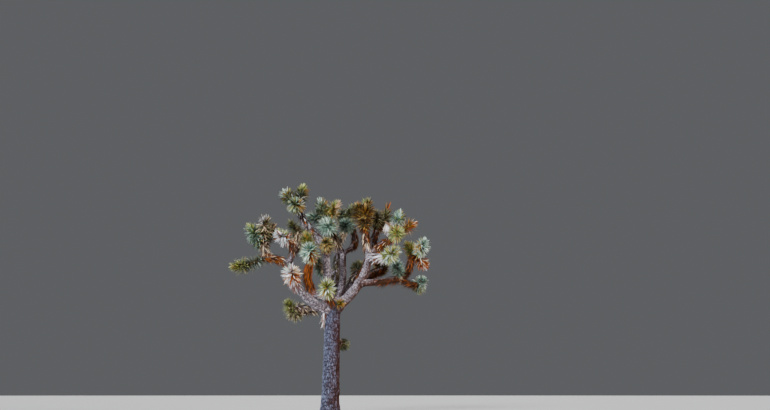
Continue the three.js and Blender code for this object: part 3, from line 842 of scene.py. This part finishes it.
# Some heads are tinted on one side: the way to it, and the colour of most leaves there
HEAD_SIDES = {
    ("left_top", 1): {(0, 0, -1): "blue_green"},
    ("left_top", 2): {(-0.7, -0.2, 1): "bleached"},
    ("left_top", 3): {(-0.4, 0, 1): "yellow_green"},
    ("left_up", 0): {(0.3, 0, 1): "yellow_green", (1, 0, -0.2): "orange"},
    ("left_side", 0): {
        (-0.5, 0, 1): "pale_green", (1, 0, 0.4): "straw", (0.8, 0, -1): "orange",
    },
    ("top_left", 0): {(1, 0, 0.1): "gold"},
    ("top_left", 1): {(-1, 0, 0.9): "pale_green"},
    ("top_left", 2): {(0.1, 0, 1): "yellow_green", (1, 0, -0.3): "gold"},
    ("left_inner", 0): {(1, 0, 0.3): "olive", (0.7, 0, -1): "orange"},
    ("middle_left", 1): {(1, 0, 0.3): "gold"},
    ("middle_left", 2): {(0.8, -0.2, 0.3): "straw", (1, 0, -0.8): "gold"},
    ("middle_left", 3): {(1, 0, 0.5): "olive"},
    ("right_top", 0): {(1, 0, -0.4): "brown"},
    ("right_top", 2): {(-0.4, 0, 1): "yellow_green"},
    ("right_up", 2): {(1, 0, 0.2): "gold"},
    ("right_up", 3): {(-0.8, 0, 0.5): "pale_green"},
    ("low_rise", 1): {(0, 0, -1): "brown", (-1, 0, -0.2): "gold"},
    ("low_rise", 2): {(0, 0, -1): "gold"},
}
SIDE_REACH = 0.6  # least part of its way that a leaf has in common with a tinted side
SIDE_SHARE = 0.8
DOWN = np.array([0, 0, -1.0])


def unit(ways):
    """The same ways, each of length 1."""
    return ways / np.linalg.norm(ways, axis=1)[:, None]


def set_out(line, reach, count, back, tilts, lengths, rng):
    """Leaves round a stem by the golden angle, from the nearest its tip to the furthest back.
    Gives their roots, their ways, the directions across them and their lengths."""
    share = (np.arange(count) + 0.5) / count
    place = 1 - np.interp(share, (0, 1), back) * reach / line.length
    side, up, along = line.axes_at(place)
    level = np.interp(share**TILT_GROWTH, (0, 1), tilts)
    tilt = np.radians(level + rng.uniform(-0.5, 0.5, count) * TILT_SCATTER)[:, None]
    turn = np.arange(count) * GOLDEN_ANGLE + rng.uniform(-0.5, 0.5, count) * TURN_SCATTER
    around = np.radians(turn)[:, None]
    outward = side * np.sin(around) + up * np.cos(around)
    across = up * np.sin(around) - side * np.cos(around)
    way = along * np.cos(tilt) + outward * np.sin(tilt)
    length = reach * np.interp(share, (0, 1), lengths) * rng.uniform(*LENGTH_SHARES, count)
    return line.point_at(place), way, across, length


def hang(root, way, across, length):
    """The same leaves, sunk until they hang."""
    hanging = unit(way + SINK * DOWN)
    return root, hanging, unit(np.cross(hanging, way)), length


def clear_of_limbs(root, way, length):
    """Which leaves have their outer parts clear of all limbs."""
    clear = np.ones(len(root), bool)
    for share in OUTER_PLACES:
        points = root + way * (share * length)[:, None]
        for limb in limbs.values():
            middle = limb.line.point_at(0.5)
            near = np.linalg.norm(points - middle, axis=1) < limb.line.length
            if near.any():
                clear[near] &= skin_distances(points[near], limb)[0] > 0
    return clear


sprays = defaultdict(list)  # rows of leaves by colour


def deal(leaves, width, sag, colours, rng, sides=()):
    """Deals leaves out among colours, without those that would run into a limb."""
    root, way, across, length = leaves
    clear = clear_of_limbs(root, way, length)
    count = len(root)
    colours = colours.split()
    drawn = rng.choice(len(colours), count, p=COLOUR_SHARES[len(colours)])
    dealt = np.array(colours, object)[drawn]
    for toward, colour in dict(sides).items():
        common = way @ (np.array(toward) / np.linalg.norm(toward))
        dealt[(common > SIDE_REACH) & (rng.random(count) < SIDE_SHARE)] = colour
    widths = width * rng.uniform(*WIDTH_SHARES, count)
    sags = np.full(count, sag)
    rows = np.column_stack([root, way, across, length, widths, sags, rng.random(count)])
    for colour in sorted(set(dealt)):
        sprays[colour].append(rows[clear & (dealt == colour)])


for name, group in heads.items():
    for line, reach, seed, number in group:
        rng = np.random.default_rng([seed, number, 1])
        colours = HEAD_COLOURS[name][number]
        tilts = CLOSED.get((name, number), LIVING_TILT)
        leaves = set_out(line, reach, LIVING, LIVING_BACK, tilts, LIVING_LENGTHS, rng)
        if (name, number) in DEAD_HEADS:
            leaves = hang(*leaves)
        deal(leaves, LIVING_WIDTH, LIVING_SAG, colours, rng, HEAD_SIDES.get((name, number), ()))
        start = LIVING_BACK[1]
        end = min(start + SLEEVES.get(name, SLEEVE), line.length / reach)
        if end > start:
            count = round(SLEEVE_LEAVES * (end - start))
            leaves = set_out(line, reach, count, (start, end), SLEEVE_TILT, SLEEVE_LENGTHS, rng)
            deal(leaves, LIVING_WIDTH, SLEEVE_SAG, SLEEVE_COLOURS.get(name, colours), rng)


def make_leaf_shape(rows):
    """One leaf of unit length and width with a three-sided section, as points and faces. The
    rows are shares of its length and width from the root to just before the point."""
    bm = bmesh.new()
    bmesh.ops.create_circle(bm, cap_ends=True, radius=1, segments=3)
    for vert, corner in zip(bm.verts, [(-0.5, 0, 0.5), (0.5, 0, 0.5), (0, 0, -0.5)]):
        vert.co = corner
    edges = bm.edges[:]
    at, wide = rows[0]
    bmesh.ops.scale(bm, vec=(wide, 1, wide), verts=bm.verts)
    for next_at, next_wide in [*rows[1:], (1, 0)]:
        ring, edges = extrude(bm, edges)
        share = next_wide / wide
        bmesh.ops.scale(bm, vec=(share, 1, share), verts=ring)
        bmesh.ops.translate(bm, vec=(0, next_at - at, 0), verts=ring)
        at, wide = next_at, next_wide
    bmesh.ops.pointmerge(bm, verts=ring, merge_co=(0, 1, 0))
    sort_faces(bm)
    bmesh.ops.recalc_face_normals(bm, faces=bm.faces)
    bmesh.ops.triangulate(bm, faces=bm.faces)
    points = np.array([vert.co for vert in bm.verts])
    faces = np.array([[vert.index for vert in face.verts] for face in bm.faces])
    bm.free()
    return points, faces


def join_leaves(name, colour, shape, thickness):
    """One piece of all leaves of a colour: the shape is laid along each leaf's way and sags
    towards its point. Each keeps a number of its own and how far along it a place is."""
    points, faces = shape
    rows = np.vstack(sprays[colour])
    root, way, across = rows[:, None, 0:3], rows[:, None, 3:6], rows[:, None, 6:9]
    length, width, sag, tone = (rows[:, None, i, None] for i in range(9, 13))
    x, y, z = (points[None, :, i, None] for i in range(3))
    back = np.cross(across, way)
    places = root + across * x * width + back * z * thickness + way * y * length
    places += DOWN * sag * y**2
    joined = faces[None] + len(points) * np.arange(len(rows))[:, None, None]
    mesh = bpy.data.meshes.new(name)
    mesh.from_pydata(places.reshape(-1, 3), [], joined.reshape(-1, 3))
    keep(mesh, tone=tone + 0 * y, outward=y + 0 * tone)
    piece = put_in_scene(name, mesh)
    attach(piece, "root")
    firsts = [mass for mass, colours in HEAD_COLOURS.items() if colours[0].split()[0] == colour]
    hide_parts(*(f"foliage_{mass}" for mass in firsts))
    return piece


# A leaf's colours: paler towards its point, partly as a painted highlight, darker at its root as
# painted shade in the middle of a head, a little different from leaf to leaf, with fine streaks.
leaf, given = new_group("leaf_colours", Leaf=(0.2, 0.3, 0.2, 1), Tip=(0.4, 0.4, 0.3, 1), Range=0.5)
tone, outward = own_number(leaf, "tone"), own_number(leaf, "outward")
streaks = cloud(leaf, 45.0, 3.0)["Fac"]
# Paler towards the point: partly a painted highlight.
tipped = mix(leaf, spread(leaf, outward, 0.25, 0.9, 0, 0.85), given["Leaf"], given["Tip"])
darkest = work_out(leaf, "SUBTRACT", 1.0, given["Range"])
lightest = work_out(leaf, "ADD", 1.0, given["Range"])
uneven = work_out(leaf, "ADD", tone, work_out(leaf, "MULTIPLY", streaks, 0.4))
shade = spread(leaf, uneven, 0.15, 1.25, darkest, lightest)
# Darker towards the root, down to a quarter: painted shade in the middle of the head.
shade = work_out(leaf, "MULTIPLY", shade, spread(leaf, outward, 0, 0.45, 0.25, 1))
give_out(
    leaf,
    Color=mix(leaf, 1.0, tipped, shade, "MULTIPLY"),
    Roughness=spread(leaf, streaks, 0, 1, 0.4, 0.7),
)
living_shape = make_leaf_shape([(0, 0.6), (0.2, 1), (0.68, 0.72)])

# Dead leaves
# Straw, rust and brown, bent back over the stems behind each head, where they stay for
# years, and in shaggy sleeves on the upper limbs. They are dry, narrow and curled.
SKIRT = 260  # leaves in each reach of a skirt
SKIRT_LENGTH = 1.2
SHORTEST_SKIRT = 0.3
SKIRT_OVERLAP = 0.1  # with the living leaves before it
SKIRT_TILT = (116, 160)
SKIRT_LENGTHS = (0.85, 0.7)
SKIRT_SAG = 0.05
DEAD_WIDTH = 0.017
DEAD_THICKNESS = 0.005
DRIES = {
    "straw": (0.60, 0.46, 0.31),
    "bleached": (0.66, 0.63, 0.68),
    "orange": (0.22, 0.055, 0.006),
    "brown": (0.050, 0.020, 0.009),
}
DRY_TIP = 1.5  # how much lighter its colour is
DEAD_RANGE = 0.75
DEAD_GLOSS = 0.12
MOST_SKIRTS = "straw brown"
SKIRTS = {
    "orange straw": ["far_left", "left_up", "left_inner", "right_up"],
    "orange brown": ["low_outer"],
    "brown straw": ["left_top", "middle_right", "back_right"],
    "brown orange": ["centre", "right_top", "right_back", "low_rise", "right_dark"],
    "bleached orange": ["left_side"],
    "bleached brown": ["top_left"],
    "bleached straw": ["right_front"],
}
skirt_colours = {mass: colours for colours, masses in SKIRTS.items() for mass in masses}

# limb: [from, to, leaves per metre, colours], and where it's only on one side, the angle
# of that side and how far it goes to either hand
SHAGS = {
    "limb_far_left": [0.2, 1, 620, "orange brown straw"],
    "limb_left_top": [0.2, 1, 460, "straw brown"],
    "limb_left_up": [0.55, 1, 320, "brown orange straw"],
    "limb_left_back": [0.5, 1, 360, "brown straw"],
    "limb_left_inner": [0.22, 1, 620, "orange brown"],
    "limb_left_low": [0.25, 1, 520, "brown straw"],
    "limb_top_left": [0.3, 1, 420, "brown bleached orange"],
    "bough_left": [0.66, 0.8, 380, "bleached orange"],
    "bough_centre": [0.94, 1, 420, "brown orange"],
    "bough_front": [0.45, 1, 420, "brown orange"],
    "limb_middle_left": [0.3, 1, 460, "brown straw"],
    "limb_middle_right": [0.4, 1, 420, "brown orange"],
    "limb_back_left": [0.4, 1, 400, "brown straw"],
    "limb_back_far": [0.4, 1, 400, "straw brown"],
    "limb_right_top": [0.3, 1, 460, "brown straw orange"],
    "limb_right_back": [0.6, 1, 420, "brown orange"],
    "limb_right_up": [0.25, 1, 620, "orange brown straw"],
    "limb_right_front": [0.4, 1, 460, "bleached brown orange"],
    "limb_right_dark": [0.3, 1, 560, "brown orange"],
    "limb_low_rise": [0.2, 1, 620, "brown orange"],
    "limb_low_outer": [0.3, 1, 480, "brown orange"],
    "limb_back_right": [0.6, 1, 420, "brown straw"],
    "limb_trunk": [0.45, 1, 320, "brown straw"],
    "bough_right": [0.62, 0.95, 420, "brown orange", 10, 75],
    "bough_middle": [0.14, 0.3, 520, "orange brown", 90, 90],
    # Brown and olive leaves cover most of bough_back and darken it: dead leaves, and partly
    # painted shade.
    "bough_back": [0.15, 0.9, 300, "brown olive"],
    "bough_right_low": [0.45, 1, 260, "brown orange"],
}
SHAG_LENGTH = (0.13, 0.25)
SHAG_SPREAD = (6, 38)
SHAG_FALL = 0.35  # share of its way that a leaf gives to hanging straight down
SHAG_SAG = 0.03
SHAG_ROOT = 0.97  # how far from the middle of what carries it, in its radii
STEM_SHAG = 460  # leaves per metre of a forked stem


def shag(line, radius, start, end, count, rng, middle=0, sides=180):
    """Dead leaves on the skin of a limb or stem, pointing back down along it and hanging. The
    radius is a function of the distance along it."""
    share = rng.uniform(start, end, count)
    side, up, along = line.axes_at(share)
    around = np.radians(middle + rng.uniform(-sides, sides, count))[:, None]
    outward = side * np.sin(around) + up * np.cos(around)
    lean = np.radians(rng.uniform(*SHAG_SPREAD, count))[:, None]
    way = -along * np.cos(lean) + outward * np.sin(lean)
    way = unit(way + SHAG_FALL * rng.random((count, 1)) * DOWN)
    root = line.point_at(share) + outward * SHAG_ROOT * radius(share * line.length)[:, None]
    return root, way, unit(np.cross(way, outward)), rng.uniform(*SHAG_LENGTH, count)


for name, group in heads.items():
    for line, reach, seed, number in group:
        rng = np.random.default_rng([seed, number, 2])
        end = line.length / reach
        start = min(LIVING_BACK[1] + SLEEVES.get(name, SLEEVE), end) - SKIRT_OVERLAP
        back = (start, min(start + SKIRT_LENGTH, max(end, start + SHORTEST_SKIRT)))
        count = round(SKIRT * (back[1] - back[0]))
        leaves = set_out(line, reach, count, back, SKIRT_TILT, SKIRT_LENGTHS, rng)
        deal(leaves, DEAD_WIDTH, SKIRT_SAG, skirt_colours.get(name, MOST_SKIRTS), rng)
for number, (name, (start, end, density, colours, *side)) in enumerate(SHAGS.items()):
    rng = np.random.default_rng([number, 3])
    limb = limbs[name]
    middle, sides = side or (0, 180)
    count = round(density * (end - start) * limb.line.length * sides / 180)
    leaves = shag(limb.line, lambda d: radius_at(limb, d), start, end, count, rng, middle, sides)
    deal(leaves, DEAD_WIDTH, SHAG_SAG, colours, rng)
# Few leaves sprout from old wood: a gold tuft in the trunk's fork, and a rusty one high up.
# [root, heading, climb, reach, leaves, tilts, colours]
SPROUTS = [
    [(0.14, -0.20, 2.68), -60, 20, 0.17, 44, (0, 100), "gold yellow_green"],
    [(1.50, 0.97, 5.70), 20, 72, 0.40, 22, (0, 22), "orange gold"],
]
SPROUT_SAG = 0.01
for number, (root, heading, climb, reach, count, tilts, colours) in enumerate(SPROUTS):
    rng = np.random.default_rng([number, 7])
    line = Line(np.array(root), heading, climb, reach)
    leaves = set_out(line, reach, count, (0.8, 1), tilts, (1, 1), rng)
    deal(leaves, LIVING_WIDTH, SPROUT_SAG, colours, rng)
# A last tatter of dead leaves hangs down the trunk from its fork.
TATTER = Line(np.array([-0.27, -0.12, 2.14]), 0, 87, 0.56)
TATTER_LEAVES = 130
leaves = shag(TATTER, lambda d: 0 * d, 0.2, 1.1, TATTER_LEAVES, np.random.default_rng(5))
deal(leaves, DEAD_WIDTH, SHAG_SAG, "bleached orange", np.random.default_rng(6))
for name, (stem, seed) in forked_stems.items():
    rng = np.random.default_rng([seed, 4])
    count = round(STEM_SHAG * stem.length)
    leaves = shag(stem, lambda d: 0 * d + STEM_RADIUS, 0, 1, count, rng)
    deal(leaves, DEAD_WIDTH, SHAG_SAG, skirt_colours.get(name, MOST_SKIRTS), rng)

for colour, (base, tip_paling, slot) in GREENS.items():
    piece = join_leaves(f"leaves_{colour}", colour, living_shape, LIVING_THICKNESS)
    tip = tuple(c + tip_paling * (pale - c) for c, pale in zip(base, PALE_LIT_TIP))
    piece.data.materials.append(make_finish(
        f"leaf_{colour}", leaf, LIVING_GLOSS, Leaf=base, Tip=tip, Range=LIVING_RANGE
    ))
dead_shape = make_leaf_shape([(0, 0.8), (0.3, 1), (0.7, 0.6)])
for colour, base in DRIES.items():
    piece = join_leaves(f"dead_leaves_{colour}", colour, dead_shape, DEAD_THICKNESS)
    tip = tuple(min(1, DRY_TIP * c) for c in base)
    piece.data.materials.append(make_finish(
        f"dead_leaf_{colour}", leaf, DEAD_GLOSS, Leaf=base, Tip=tip, Range=DEAD_RANGE
    ))

# Floor, light and camera
# A plain pale floor as wide as the eye can see, soft studio light from both sides and from
# behind, and a camera near the ground that looks up at the crown.
FLOOR_RADIUS = 400
FLOOR_SIDES = 96
bm = bmesh.new()
bmesh.ops.create_circle(bm, cap_ends=True, radius=FLOOR_RADIUS, segments=FLOOR_SIDES)
floor = new_piece("floor", bm)
paint, tree, shader = new_material("floor_paint")
colour = mix(tree, cloud(tree, 0.4, 2.0)["Fac"], (0.60, 0.60, 0.60, 1), (0.66, 0.66, 0.66, 1))
tree.links.new(colour, shader.inputs["Base Color"])
shader.inputs["Roughness"].default_value = 0.9
floor.data.materials.append(paint)

world = bpy.data.worlds.new("studio")
world.use_nodes = True
studio = world.node_tree.nodes["Background"]
studio.inputs["Color"].default_value = (0.115, 0.119, 0.125, 1)
studio.inputs["Strength"].default_value = 1.0
bpy.context.scene.world = world

# name: [where it comes from, width in degrees, strength, colour]
LIGHTS = {
    "key_light": [(-0.55, -0.85, 0.40), 25, 5.0, (0.88, 0.94, 1.0)],
    "side_light": [(0.95, -0.50, 0.25), 25, 2.8, (1.0, 0.85, 0.72)],
    "back_light": [(0.15, 0.80, 0.75), 30, 2.0, (1.0, 1.0, 1.0)],
}
for name, (source, width, strength, colour) in LIGHTS.items():
    data = bpy.data.lights.new(name, "SUN")
    data.angle, data.energy, data.color = math.radians(width), strength, colour
    put_in_scene(name, data).rotation_euler = Vector(source).to_track_quat("Z", "Y").to_euler()

CAMERA_PLACE = (0, -13.0, 0.45)
CAMERA_PITCH = 21.6
CAMERA_YAW = 6.0  # to the right
PICTURE_WIDTH = 770
FOCAL_PIXELS = 480
SIGHT = 1000  # how far it sees
camera_data = bpy.data.cameras.new("camera")
camera_data.lens = camera_data.sensor_width * FOCAL_PIXELS / PICTURE_WIDTH
camera_data.clip_end = SIGHT
camera = put_in_scene("camera", camera_data)
camera.location = CAMERA_PLACE
camera.rotation_euler = (math.radians(90 + CAMERA_PITCH), 0, math.radians(-CAMERA_YAW))
bpy.context.scene.camera = camera
